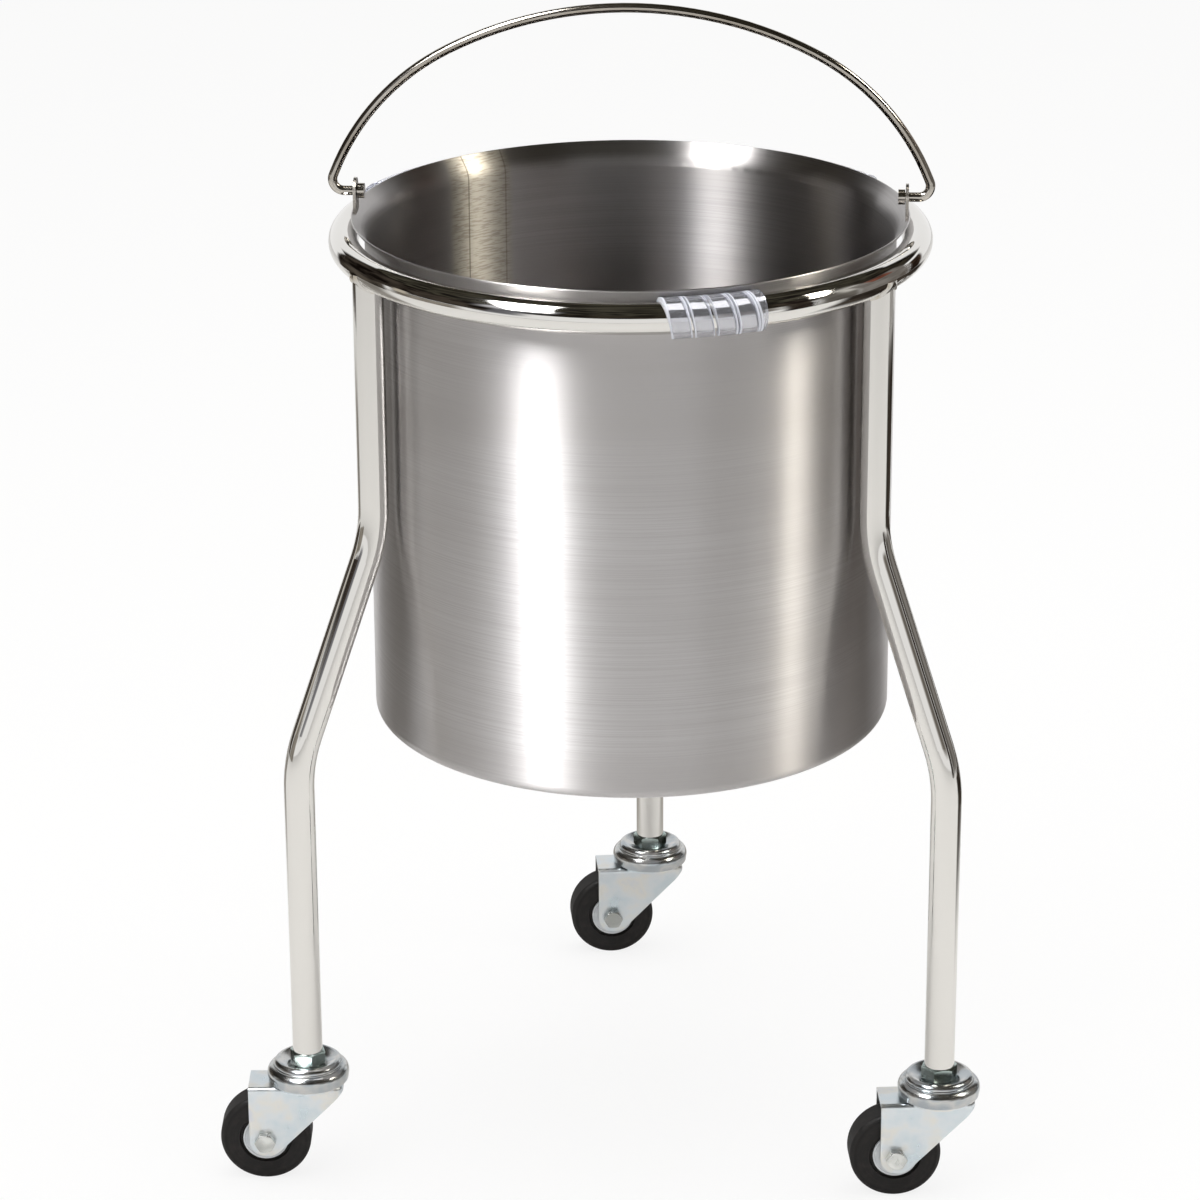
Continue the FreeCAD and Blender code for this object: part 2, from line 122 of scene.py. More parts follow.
studio = {
    "floorRadius": 4.0,
    "floorSides": 96,
    "paper": "#F4F3F1",
    "seenShade": 0.16,       # how much of the floor's own shading the lens sees beside plain white
    "mirroredShade": 1.0,    # and how much of it metal mirrors
    "ambient": 0.7,          # strength of the white room for what isn't seen or mirrored
    "eyeHeight": 0.5,        # elevations are taken from here, the height of the ring
    "matHeight": 0.002,
    "matGrid": (28, 16),     # columns and rows, enough for the faded edges
    "clothGrid": (24, 16),
    "screenColumns": 12,     # at least, and otherwise one for each degree
    "screenRows": 24,
    "clutterScale": 2.2,     # dim shapes of about half a metre
    "clutterStops": (0.4, 0.62),
    "plainWhite": "#FFFFFF",
}
# a wide panel that lights matt surfaces from above and throws the floor's soft shadow
topPanel = {"watts": 20.0, "size": (1.8, 1.8), "place": (0.2, 0.1, 2.4)}

# azimuths in degrees round the object, 0 towards the lens and positive to its right; along is the direction of
# the long side, as right, towards the lens and up; fade is the share of length and width that a faded edge takes
softboxes = {
    "keySoftbox": {
        "azimuth": -53.2, "elevation": 52.3, "distance": 1.68, "size": (1.66, 0.58),
        "along": (-0.31, 0.87, -0.38),
        "glow": 26.5, "watts": 7.0, "cloth": "#FFFFFF", "fade": (1 / 7, 2 / 7),
    },
    "stripSoftbox": {
        "azimuth": 84.3, "elevation": 37, "distance": 2.3, "size": (1.2, 0.34),
        "along": (0.54, 0.62, -0.57),
        "glow": 28.5, "watts": 5.5, "cloth": "#FFF9EC", "fade": (1 / 7, 2 / 7),
    },
}

# elevations in degrees above the ring; soft is the width of the faded edge in degrees, sideways and above
screens = {
    "upperRoom": {"distance": 3.0, "azimuths": (-147, 147), "elevations": (13.5, 36), "soft": (6, 1.5),
                  "tones": ("#0E0B09", "#3A352C")},
    "leftDark": {"distance": 2.2, "azimuths": (-139, -51), "elevations": (1, 36), "soft": (3, 2),
                 "tones": ("#120D0A", "#463F38")},
    "leftNear": {"distance": 1.65, "azimuths": (-139, -97), "elevations": (-18, 5), "soft": (4, 2),
                 "tones": ("#1A1410", "#5A534B")},
    "leftLow": {"distance": 2.2, "azimuths": (-100, -60), "elevations": (-14, 2), "soft": (8, 2),
                "tones": ("#6C665D", "#989289")},
    "leftPatch": {"distance": 2.1, "azimuths": (-97, -86), "elevations": (-6, 9), "soft": (4, 3),
                  "tones": ("#C4BBAC", "#D8D2C6")},
    "leftVeil": {"distance": 2.3, "azimuths": (-62, -34), "elevations": (-4, 33), "soft": (10, 5),
                 "tones": ("#626266", "#7C7C81")},
    "keySpill": {"distance": 2.0, "azimuths": (-65, -26), "elevations": (20, 48), "soft": (9, 13),
                 "tones": ("#DADAE0", "#E4E4EA")},
    "frontVeil": {"distance": 2.4, "azimuths": (22, 62), "elevations": (-4, 18), "soft": (14, 4),
                  "tones": ("#6A655F", "#8A847C")},
    "rightDark": {"distance": 2.0, "azimuths": (54, 73), "elevations": (-16, 36), "soft": (5, 3),
                  "tones": ("#1C1512", "#4A423A")},
    "rightVeil": {"distance": 2.0, "azimuths": (68, 95), "elevations": (-16, 28), "soft": (7, 6),
                  "tones": ("#5E5A55", "#77736D")},
    "stripSpill": {"distance": 1.9, "azimuths": (81, 102), "elevations": (4, 40), "soft": (6, 14),
                   "tones": ("#C2C0BB", "#D0CEC8")},
    "rightWarm": {"distance": 1.65, "azimuths": (88, 124), "elevations": (-18, 27), "soft": (4, 3),
                  "tones": ("#6A645E", "#8A8682")},
    "rightRed": {"distance": 1.6, "azimuths": (98, 116), "elevations": (14, 27), "soft": (4, 3),
                 "tones": ("#4A2F26", "#8A5444")},
    "rightBack": {"distance": 1.65, "azimuths": (120, 136), "elevations": (-14, 10), "soft": (3, 2),
                  "tones": ("#241A14", "#4C3C30")},
}
# dark patches on the floor beside the object, which only reflections see: distances from its middle, in metres
mats = {
    "rightMat": {"azimuths": (80, 150), "distances": (0.4, 1.75), "soft": (9, 0.22), "tones": ("#2A241F", "#4A433C")},
    "leftMat": {"azimuths": (-142, -98), "distances": (0.4, 1.6), "soft": (12, 0.25), "tones": ("#8A8680", "#A29E98")},
    # painted shadow: the pail's shade on the floor behind it, laid as a grey patch that only reflections see
    "shadeMat": {"azimuths": (125, 235), "distances": (0.12, 1.1), "soft": (18, 0.3), "tones": ("#A19D97", "#BEBAB4")},
}
ceiling = {"height": 2.65, "radius": 3.2, "grid": (48, 6), "tones": ("#1A1714", "#4C493E")}


def stageObject(name, mesh, material):
    made = bpy.data.objects.new(name, mesh)
    bpy.context.scene.collection.objects.link(made)
    mesh.materials.append(material)
    return made


def onlyInReflections(item):
    item.visible_camera = False
    item.visible_diffuse = False
    item.visible_shadow = False
    item.visible_volume_scatter = False


def lensFrame(right, forward, up):  # a direction given to the right of, towards and above the lens
    turned = math.atan2(view["place"][0], -view["place"][1])
    return Vector((
        right * math.cos(turned) + forward * math.sin(turned),
        right * math.sin(turned) - forward * math.cos(turned), up,
    ))


def aroundLens(azimuth, distance, height):
    side = math.radians(azimuth)
    return lensFrame(distance * math.sin(side), distance * math.cos(side), height)


def ease(share):  # smooth step from 0 to 1
    share = min(max(share, 0), 1)
    return share * share * (3 - 2 * share)


def gridMesh(name, columns, rows, pointAt, coverAt):  # a grid with how solid each of its points is
    mesh = bpy.data.meshes.new(name)
    shares = [(column / columns, row / rows) for row in range(rows + 1) for column in range(columns + 1)]
    faces = [
        (start, start + 1, start + columns + 2, start + columns + 1)
        for row in range(rows) for start in range(row * (columns + 1), row * (columns + 1) + columns)
    ]
    mesh.from_pydata([pointAt(*share) for share in shares], [], faces)
    cover = mesh.attributes.new("cover", "FLOAT", "POINT")
    cover.data.foreach_set("value", [coverAt(*share) for share in shares])
    return mesh


def fadedGlow(name, colour, strength):  # a glow that thins out where the mesh's cover falls to 0
    material = startMaterial(name)
    if callable(colour):
        colour = colour(material)
    glow = addNode(material, "Emission", {"Color": colour, "Strength": strength})
    clear = addNode(material, "BsdfTransparent")
    cover = addNode(material, "Attribute", attribute_name="cover").outputs["Fac"]
    return finishMaterial(material, addNode(material, "MixShader", {0: cover, 1: clear, 2: glow}))


def clutter(tones):  # the room's dim shapes, between two tones
    def colour(material):
        place = addNode(material, "TexCoord").outputs["Object"]
        shapes = addNode(material, "TexNoise", {"Vector": place, "Scale": studio["clutterScale"], "Detail": 3.0})
        return addNode(material, "ValToRGB", {"Fac": shapes}, list(zip(studio["clutterStops"], tones)))
    return colour


def seenOrMirrored(owner):  # 1 for rays of the lens, of mirror reflections and through clear plastic
    rays = addNode(owner, "LightPath").outputs
    first = addNode(owner, "Math", {0: rays["Is Camera Ray"], 1: rays["Is Glossy Ray"]}, operation="MAXIMUM")
    return addNode(owner, "Math", {0: first, 1: rays["Is Transmission Ray"]}, operation="MAXIMUM")


def addFloor():
    sides = studio["floorSides"]
    rim = [
        (studio["floorRadius"] * math.cos(2 * math.pi * side / sides),
         studio["floorRadius"] * math.sin(2 * math.pi * side / sides), 0)
        for side in range(sides)
    ]
    mesh = bpy.data.meshes.new("floor")
    mesh.from_pydata(rim, [], [list(range(sides))])
    paper = startMaterial("mattePaperFloor")
    shaded = addNode(paper, "BsdfDiffuse", {"Color": linearColour(studio["paper"])})
    white = addNode(paper, "Emission", {"Color": linearColour(studio["plainWhite"]), "Strength": 1})
    share = addNode(paper, "MapRange", {
        "Value": addNode(paper, "LightPath").outputs["Is Glossy Ray"],
        "To Min": studio["seenShade"], "To Max": studio["mirroredShade"],
    })
    seen = addNode(paper, "MixShader", {0: share, 1: white, 2: shaded})
    whole = addNode(paper, "MixShader", {0: seenOrMirrored(paper), 1: shaded, 2: seen})
    stageObject("floor", mesh, finishMaterial(paper, whole))


def addRoom():
    world = bpy.data.worlds.new("whiteRoom")
    world.use_nodes = True
    world.node_tree.nodes.clear()
    bpy.context.scene.world = world
    plainWhite = linearColour(studio["plainWhite"])
    soft = addNode(world, "Background", {"Color": plainWhite, "Strength": studio["ambient"]})
    white = addNode(world, "Background", {"Color": plainWhite, "Strength": 1})
    mixed = addNode(world, "MixShader", {0: seenOrMirrored(world), 1: soft, 2: white})
    addNode(world, "OutputWorld", {"Surface": mixed})


def addScreen(name, screen):
    start, end = screen["azimuths"]
    low, high = screen["elevations"]
    softSide, softEdge = screen["soft"]
    width, height = end - start, high - low

    def pointAt(across, upward):
        elevation = math.radians(low + height * upward)
        level = studio["eyeHeight"] + screen["distance"] * math.tan(elevation)
        return aroundLens(start + width * across, screen["distance"], level)

    def coverAt(across, upward):
        side = ease(min(across, 1 - across) * width / softSide)
        return side * ease(min(upward, 1 - upward) * height / softEdge)

    columns = max(studio["screenColumns"], round(width))
    mesh = gridMesh(name, columns, studio["screenRows"], pointAt, coverAt)
    onlyInReflections(stageObject(name, mesh, fadedGlow(name + "Cloth", clutter(screen["tones"]), 1)))


def addMat(name, mat):
    start, end = mat["azimuths"]
    near, far = mat["distances"]
    softSide, softEnd = mat["soft"]

    def pointAt(across, outward):
        return aroundLens(start + (end - start) * across, near + (far - near) * outward, studio["matHeight"])

    def coverAt(across, outward):
        side = ease(min(across, 1 - across) * (end - start) / softSide)
        return side * ease(min(outward, 1 - outward) * (far - near) / softEnd)

    mesh = gridMesh(name, *studio["matGrid"], pointAt, coverAt)
    onlyInReflections(stageObject(name, mesh, fadedGlow(name + "Cloth", clutter(mat["tones"]), 1)))


def addCeiling():
    def pointAt(across, outward):
        return aroundLens(360 * across, ceiling["radius"] * outward, ceiling["height"])

    mesh = gridMesh("ceiling", *ceiling["grid"], pointAt, lambda across, outward: 1)
    onlyInReflections(stageObject("ceiling", mesh, fadedGlow("ceilingPaint", clutter(ceiling["tones"]), 1)))


def addPanelLamp(name, size, watts):  # lights matt surfaces, and isn't mirrored itself
    data = bpy.data.lights.new(name, "AREA")
    data.shape = "RECTANGLE"
    data.size, data.size_y = size
    data.energy = watts
    lamp = bpy.data.objects.new(name, data)
    bpy.context.scene.collection.objects.link(lamp)
    lamp.visible_glossy = False
    return lamp


def addSoftbox(name, box):  # a lamp, and its glowing cloth for what mirrors it
    rise = math.radians(box["elevation"])
    flat = box["distance"] * math.cos(rise)
    centre = aroundLens(box["azimuth"], flat, studio["eyeHeight"] + box["distance"] * math.sin(rise))
    aim = (Vector((0, 0, studio["eyeHeight"])) - centre).normalized()
    along = lensFrame(*box["along"])
    along = (along - aim * along.dot(aim)).normalized()
    across = aim.cross(along)
    length, width = box["size"]
    fadeLong, fadeWide = box["fade"]

    def pointAt(first, second):
        return centre + along * length * (first - 0.5) + across * width * (second - 0.5)

    def coverAt(first, second):
        return ease(min(first, 1 - first) / fadeLong) * ease(min(second, 1 - second) / fadeWide)

    cloth = stageObject(name + "Cloth", gridMesh(name + "Cloth", *studio["clothGrid"], pointAt, coverAt),
                        fadedGlow(name + "Cloth", linearColour(box["cloth"]), box["glow"]))
    onlyInReflections(cloth)
    lamp = addPanelLamp(name, box["size"], box["watts"])
    lamp.matrix_world = Matrix((along, -across, -aim)).transposed().to_4x4()
    lamp.location = centre


addRoom()
addFloor()
for screenName, screen in screens.items():
    addScreen(screenName, screen)
for matName, mat in mats.items():
    addMat(matName, mat)
addCeiling()
for boxName, softbox in softboxes.items():
    addSoftbox(boxName, softbox)
addPanelLamp("topPanel", topPanel["size"], topPanel["watts"]).location = topPanel["place"]
print("studio set")


# mirror-polished stainless steel tube: buffed until it mirrors the room, so it reads white with thin dark lines

polishedTube = {
    "steel": "#DCDAD6",
    "roughness": (0.03, 0.075),
    "hazePatch": 18,         # mm, buffing haze comes and goes over about this length
    "waveLength": 22,        # mm, the slight waviness of drawn tube that bends its reflections
    "waveHeight": 0.006,     # mm
}


def polishedTubeSteel():
    steel = startMaterial("mirrorPolishedStainlessTube")
    place = addNode(steel, "TexCoord").outputs["Object"]
    hazeAndHighlightTint = addNode(steel, "TexNoise", {
        "Vector": place, "Scale": perMillimetre(polishedTube["hazePatch"]), "Detail": 4.0,
    })
    low, high = polishedTube["roughness"]
    rough = addNode(steel, "MapRange", {"Value": hazeAndHighlightTint, **noiseSpan, "To Min": low, "To Max": high})
    wave = addNode(steel, "TexNoise", {
        "Vector": place, "Scale": perMillimetre(polishedTube["waveLength"]), "Detail": 1.0,
    })
    bump = addNode(steel, "Bump", {"Height": wave, "Strength": 1.0, "Distance": polishedTube["waveHeight"] / 1000})
    skin = addNode(steel, "BsdfPrincipled", {
        "Base Color": linearColour(polishedTube["steel"]), "Metallic": 1.0, "Roughness": rough, "Normal": bump,
    })
    return finishMaterial(steel, skin)


dress(["ring_tube"] + ofEach(["leg"]), polishedTubeSteel())
print("tube frame polished")


# TIG fillet at the leg tops: laid in ripples and buffed with the tube, so it only ruffles the mirror

weldBead = {
    "stains": [(0.35, "#BDB29E"), (0.55, "#D6D3CE")],   # straw-coloured where the heat stained it
    "stainSize": 9,          # mm
    "ripple": 2.2,           # mm between ripples
    "evenness": 0.35,        # randomness of the ripples: 0 is a grid
    "rippleHeight": 0.03,    # mm
    "roughness": 0.12,
}


def weldBeadSteel():
    steel = startMaterial("buffedWeldStainless")
    place = addNode(steel, "TexCoord").outputs["Object"]
    ripples = addNode(steel, "TexVoronoi", {
        "Vector": place, "Scale": perMillimetre(weldBead["ripple"]), "Randomness": weldBead["evenness"],
    }, feature="SMOOTH_F1")
    stains = addNode(steel, "TexNoise", {
        "Vector": place, "Scale": perMillimetre(weldBead["stainSize"]), "Detail": 3.0,
    })
    tone = addNode(steel, "ValToRGB", {"Fac": stains}, weldBead["stains"])
    bump = addNode(steel, "Bump", {"Height": ripples, "Strength": 0.6, "Distance": weldBead["rippleHeight"] / 1000})
    skin = addNode(steel, "BsdfPrincipled", {
        "Base Color": tone, "Metallic": 1.0, "Roughness": weldBead["roughness"], "Normal": bump,
    })
    return finishMaterial(steel, skin)


dress(ofEach(["leg_weld"]), weldBeadSteel())
print("leg welds buffed")


# satin brushed stainless sheet: an abrasive belt ran round the pail, and its fine level lines draw each lamp out
# into a tall upright band

brushedSheet = {
    "clouds": [(0.35, "#C9C6C5"), (0.6, "#D8D6D6")],
    "cloudSize": (220, 60),  # mm along and up, broad patches
    "roughness": (0.41, 0.46),
    "stretch": 0.98,         # anisotropy: 0 spreads a highlight evenly, 1 only across the lines
    "acrossLines": 0.25,     # a quarter turn, because the spread runs across the lines
    "lineSpacing": 0.6,      # mm, a 180 grit belt leaves lines about 0.1 mm apart, drawn coarser so that they show
    "lineLength": 110,       # mm
    "lineDepth": 0.0018,     # mm
    "lineShade": "#CBC8C8",
    "lineFade": (0.3, 0.65),  # of the lines' noise: all line shade below, none above
}

# what only the inside shows: the belt was finer, and a brown painted shade darkens all of it, standing in for the
# shade in the pail's hollow; one upright band beside the weld was ground by hand
pailInside = {
    "smoother": 0.09,        # how much less rough than the outside
    # painted shade: a dark brown tone laid over every inward face, for the shade inside the pail
    "paintedInsideShade": "#35291E",
    "paintedInsideShadeShare": 0.36,
    "groundAzimuth": 130,    # degrees, the middle of the ground band
    "groundWidth": 44,       # mm
    "groundCore": 0.75,      # share of it before its edges fade
    "groundSteel": "#DAD6CC",
    "groundRougher": 0.35,   # beside the brush lines' noise
    "scratchLength": 7,      # mm
    "scratchSpacing": 0.8,   # mm
    "scratchDepth": 0.012,   # mm
    "scratchShade": "#BDB7AD",
    "scratchFade": (0.38, 0.55),
    "scratchTilt": (0.12, 0.1, 0),   # radians, the hand never runs quite level
    "rollMark": 123,         # degrees, where the sheet's end was rolled flat
    "markShare": 0.4,
}

# degrees and mm; the belt blends most of the weld away, and its edges fade beyond the core
weldSeam = {"azimuth": 133, "width": 1.3, "core": 0.3, "shade": "#6E675D", "share": 0.7}


def stretchedNoise(material, place, length, spacing, detail):  # streaks that lie level
    longer = perMillimetre(length)
    finer = perMillimetre(spacing)
    spread = addNode(material, "Mapping", {"Vector": place, "Scale": (longer, longer, finer)})
    return addNode(material, "TexNoise", {"Vector": spread, "Scale": 1.0, "Detail": detail})


def uprightStripe(material, place, azimuth, width, core):  # 1 on an upright line of the wall, 0 beside it; width in mm
    half = width / 2000
    turned = addNode(material, "Mapping", {"Vector": place, "Rotation": (0, 0, -math.radians(azimuth))})
    parts = addNode(material, "SeparateXYZ", {0: turned}).outputs
    beside = addNode(material, "Math", {0: parts["Y"]}, operation="ABSOLUTE")
    outward = addNode(material, "Math", {0: parts["X"], 1: 0.0}, operation="GREATER_THAN")
    close = addNode(material, "MapRange", {
        "Value": beside, "From Min": half * core, "From Max": half, "To Min": 1.0, "To Max": 0.0,
    }, interpolation_type="SMOOTHSTEP")
    return addNode(material, "Math", {0: close, 1: outward}, operation="MULTIPLY")


def insideOf(material, place):  # 1 where the surface faces the pail's axis
    outward = addNode(material, "VectorMath", {0: place, 1: (1, 1, 0)}, operation="MULTIPLY")
    normal = addNode(material, "NewGeometry").outputs["Normal"]
    facing = addNode(material, "VectorMath", {0: outward, 1: normal}, operation="DOT_PRODUCT")
    # a little under 0, so that the level base stays out
    return addNode(material, "Math", {0: facing, 1: -0.001}, operation="LESS_THAN")


def brushedWallSteel():
    steel = startMaterial("satinBrushedStainlessWall")
    place = addNode(steel, "TexCoord").outputs["Object"]
    inside = insideOf(steel, place)
    lines = stretchedNoise(steel, place, brushedSheet["lineLength"], brushedSheet["lineSpacing"], 3.0)
    clouds = stretchedNoise(steel, place, *brushedSheet["cloudSize"], 1.0)
    seam = uprightStripe(steel, place, weldSeam["azimuth"], weldSeam["width"], weldSeam["core"])
    mark = uprightStripe(steel, place, pailInside["rollMark"], weldSeam["width"], weldSeam["core"])
    band = uprightStripe(steel, place, pailInside["groundAzimuth"], pailInside["groundWidth"], pailInside["groundCore"])
    ground = addNode(steel, "Math", {0: band, 1: inside}, operation="MULTIPLY")
    tilted = addNode(steel, "Mapping", {"Vector": place, "Rotation": pailInside["scratchTilt"]})
    scratches = stretchedNoise(steel, tilted, pailInside["scratchLength"], pailInside["scratchSpacing"], 3.0)

    # heights in units of one brush line's depth
    groundScratches = addNode(steel, "Math", {0: scratches, 1: ground}, operation="MULTIPLY")
    height = addNode(steel, "Math", {
        0: groundScratches, 1: pailInside["scratchDepth"] / brushedSheet["lineDepth"], 2: lines,
    }, operation="MULTIPLY_ADD")
    bump = addNode(steel, "Bump", {"Height": height, "Strength": 1.0, "Distance": brushedSheet["lineDepth"] / 1000})

    low, high = brushedSheet["roughness"]
    ruffled = addNode(steel, "Math", {
        0: ground, 1: pailInside["groundRougher"], 2: lines,
    }, operation="MULTIPLY_ADD")
    satin = addNode(steel, "MapRange", {"Value": ruffled, **noiseSpan, "To Min": low, "To Max": high}, clamp=False)
    rough = addNode(steel, "Math", {0: inside, 1: -pailInside["smoother"], 2: satin}, operation="MULTIPLY_ADD")

    sheen = addNode(steel, "ValToRGB", {"Fac": clouds}, brushedSheet["clouds"])
    dark, bright = brushedSheet["lineFade"]
    lineShare = addNode(steel, "MapRange", {
        "Value": lines, "From Min": dark, "From Max": bright, "To Min": 1.0, "To Max": 0.0,
    }, interpolation_type="SMOOTHSTEP")
    deep, shallow = pailInside["scratchFade"]
    deepScratch = addNode(steel, "MapRange", {
        "Value": scratches, "From Min": deep, "From Max": shallow, "To Min": 1.0, "To Max": 0.0,
    }, interpolation_type="SMOOTHSTEP")
    scratchShare = addNode(steel, "Math", {0: deepScratch, 1: ground}, operation="MULTIPLY")
    seamShare = addNode(steel, "Math", {0: seam, 1: weldSeam["share"]}, operation="MULTIPLY")
    markInside = addNode(steel, "Math", {0: mark, 1: inside}, operation="MULTIPLY")
    weldShare = addNode(steel, "Math", {
        0: markInside, 1: pailInside["markShare"], 2: seamShare,
    }, operation="MULTIPLY_ADD")
    # painted shade: the inside is mixed towards a dark brown, standing in for the shade in the pail's hollow
    paintedInsideShadeShare = addNode(steel, "Math", {0: inside, 1: pailInside["paintedInsideShadeShare"]}, operation="MULTIPLY")
    tone = sheen
    for share, hexText in (
        (lineShare, brushedSheet["lineShade"]), (ground, pailInside["groundSteel"]),
        (scratchShare, pailInside["scratchShade"]), (weldShare, weldSeam["shade"]), (paintedInsideShadeShare, pailInside["paintedInsideShade"]),
    ):
        tone = addNode(steel, "Mix", {0: share, 6: tone, 7: linearColour(hexText)}, data_type="RGBA")

    around = addNode(steel, "Tangent", direction_type="RADIAL", axis="Z")
    skin = addNode(steel, "BsdfPrincipled", {
        "Base Color": tone, "Metallic": 1.0, "Roughness": rough, "Anisotropic": brushedSheet["stretch"],
        "Anisotropic Rotation": brushedSheet["acrossLines"], "Normal": bump, "Tangent": around,
    })
    return finishMaterial(steel, skin)


dress(["pail_wall", "pail_base"], brushedWallSteel())
print("pail brushed")


# brushed lugs, cut from the same sheet and rubbed by hand after welding, so they shine in short uneven streaks

lugSheet = {
    "steel": "#B9B4AD",
    "roughness": (0.24, 0.38),
    "lineSpacing": 0.7,      # mm
    "lineLength": 6,         # mm
    "lineDepth": 0.03,       # mm
}


def lugSteel():
    steel = startMaterial("handRubbedStainlessLug")
    place = addNode(steel, "TexCoord").outputs["Object"]
    lines = stretchedNoise(steel, place, lugSheet["lineLength"], lugSheet["lineSpacing"], 3.0)
    bump = addNode(steel, "Bump", {"Height": lines, "Strength": 0.5, "Distance": lugSheet["lineDepth"] / 1000})
    low, high = lugSheet["roughness"]
    rough = addNode(steel, "MapRange", {"Value": lines, **noiseSpan, "To Min": low, "To Max": high})
    skin = addNode(steel, "BsdfPrincipled", {
        "Base Color": linearColour(lugSheet["steel"]), "Metallic": 1.0, "Roughness": rough, "Normal": bump,
    })
    return finishMaterial(steel, skin)


dress(["ear_left", "ear_right"], lugSteel())
print("lugs rubbed")


# drawn stainless wire: pulled through a die, so it is smooth but duller than the tube, with faint lines along it

wire = {
    "stains": [(0.35, "#A29B90"), (0.65, "#BDB8B0")],
    "stainSize": 30,         # mm
    "roughness": (0.09, 0.16),
    "archHeight": 0.416,     # m, the middle of the bail's top arc
    "lineSpacing": 0.9,      # mm, drawn coarser than real so that they show
    "lineDepth": 0.0006,     # mm
}


def drawnWireSteel():
    steel = startMaterial("drawnStainlessWire")
    place = addNode(steel, "TexCoord").outputs["Object"]
    fromArch = addNode(steel, "VectorMath", {0: place, 1: (0, 0, wire["archHeight"])}, operation="SUBTRACT")
    parts = addNode(steel, "SeparateXYZ", {0: fromArch}).outputs
    flat = addNode(steel, "VectorMath", {0: fromArch, 1: (1, 0, 1)}, operation="MULTIPLY")
    reach = addNode(steel, "VectorMath", {0: flat}, operation="LENGTH")
    across = addNode(steel, "CombineXYZ", {0: reach, 1: parts["Y"]})
    lines = addNode(steel, "TexNoise", {"Vector": across, "Scale": perMillimetre(wire["lineSpacing"]), "Detail": 2.0})
    stains = addNode(steel, "TexNoise", {"Vector": place, "Scale": perMillimetre(wire["stainSize"]), "Detail": 2.0})
    low, high = wire["roughness"]
    rough = addNode(steel, "MapRange", {"Value": lines, **noiseSpan, "To Min": low, "To Max": high})
    tone = addNode(steel, "ValToRGB", {"Fac": stains}, wire["stains"])
    bump = addNode(steel, "Bump", {"Height": lines, "Strength": 0.5, "Distance": wire["lineDepth"] / 1000})
    skin = addNode(steel, "BsdfPrincipled", {
        "Base Color": tone, "Metallic": 1.0, "Roughness": rough, "Normal": bump,
    })
    return finishMaterial(steel, skin)


dress(["bail"], drawnWireSteel())
print("bail drawn")


# bright zinc plate with a clear blue passivate: smooth and silvery, with faint blue and straw clouds

zincPlate = {"cloudSize": 13, "grain": 0.5}   # mm
# finishes: roughness from and to, grainHeight in mm
zincFinishes = {
    "brightZincPressedCover": {
        "pieces": ["caster_cover"], "roughness": (0.17, 0.27), "grainHeight": 0.03,
        "clouds": [(0.35, "#AEB4B8"), (0.5, "#C4C4C2"), (0.65, "#A8AEB3")],
    },
    "satinZincPressedFork": {
        "pieces": ["fork", "swivel_washer"], "roughness": (0.27, 0.36), "grainHeight": 0.02,
        "clouds": [(0.3, "#CBD6DC"), (0.48, "#D8DDE0"), (0.62, "#DEDDD8"), (0.75, "#D0D6E0")],
    },
    "pittedZincBolt": {      # forged head, so its face is pitted and glints
        "pieces": ["axle_bolt", "axle_nut"], "roughness": (0.2, 0.32), "grainHeight": 0.35,
        "clouds": [(0.35, "#A9ABA8"), (0.65, "#E6E7E4")],
    },
    "greenishZincTurnedStem": {   # the thicker coat in the funnel looks greener
        "pieces": ["caster_stem", "leg_plug", "swivel_balls", "axle_bush"],
        "roughness": (0.14, 0.24), "grainHeight": 0.01, "clouds": [(0.35, "#8FA09C"), (0.65, "#B4BFBC")],
    },
}


def zincPlated(name, finish):
    zinc = startMaterial(name)
    place = addNode(zinc, "TexCoord").outputs["Object"]
    cloud = addNode(zinc, "TexNoise", {"Vector": place, "Scale": perMillimetre(zincPlate["cloudSize"]), "Detail": 2.0})
    grain = addNode(zinc, "TexNoise", {"Vector": place, "Scale": perMillimetre(zincPlate["grain"]), "Detail": 2.0})
    tone = addNode(zinc, "ValToRGB", {"Fac": cloud}, finish["clouds"])
    low, high = finish["roughness"]
    rough = addNode(zinc, "MapRange", {"Value": cloud, **noiseSpan, "To Min": low, "To Max": high})
    bump = addNode(zinc, "Bump", {"Height": grain, "Strength": 0.5, "Distance": finish["grainHeight"] / 1000})
    skin = addNode(zinc, "BsdfPrincipled", {"Base Color": tone, "Metallic": 1.0, "Roughness": rough, "Normal": bump})
    return finishMaterial(zinc, skin)


for finishName, finish in zincFinishes.items():
    dress(ofEach(finish["pieces"]), zincPlated(finishName, finish))
print("casters plated")


# clear polyethylene spiral wrap: extruded tube cut along a helix, clear and glossy, hazier where it is cut,
# and whitened along the cut as a painted highlight

clearWrap = {
    "clear": "#F4F5FA",
    "hazeAndHighlightTint": "#E6E8F0",       # the faint milky blue of the plastic where it is thick, and of the painted highlight on the cuts
    "hazeShare": 0.08,
    "cutHazeAndHighlight": 0.75,        # how milky the cut edges are, partly haze and partly painted highlight
    "cutWidth": 1.6,         # mm, how far from the middle of the slot the edge's haze and painted highlight reach
    "cutCore": 0.6,          # share of that before it fades
    "roughness": 0.07,
    "ior": 1.45,
    "waveSize": 6,           # mm
    "waveHeight": 0.3,       # mm
    "ringRadius": 0.1495,    # m, the tube ring that the wraps are wound on
    "ringHeight": 0.503,
    "pitch": 11.0,           # mm along the ring per turn
    "coilStart": 175.0,      # degrees round the tube where the coil begins
    "arc": 20.4,             # degrees of the ring that one wrap covers
    "azimuths": {"front": 288.0, "right": 44.0, "left": 147.0},
}


def turnsOf(material, first, second, whole):  # the angle of two coordinates as a share of whole radians
    angle = addNode(material, "Math", {0: first, 1: second}, operation="ARCTAN2")
    return addNode(material, "Math", {0: angle, 1: whole}, operation="DIVIDE")


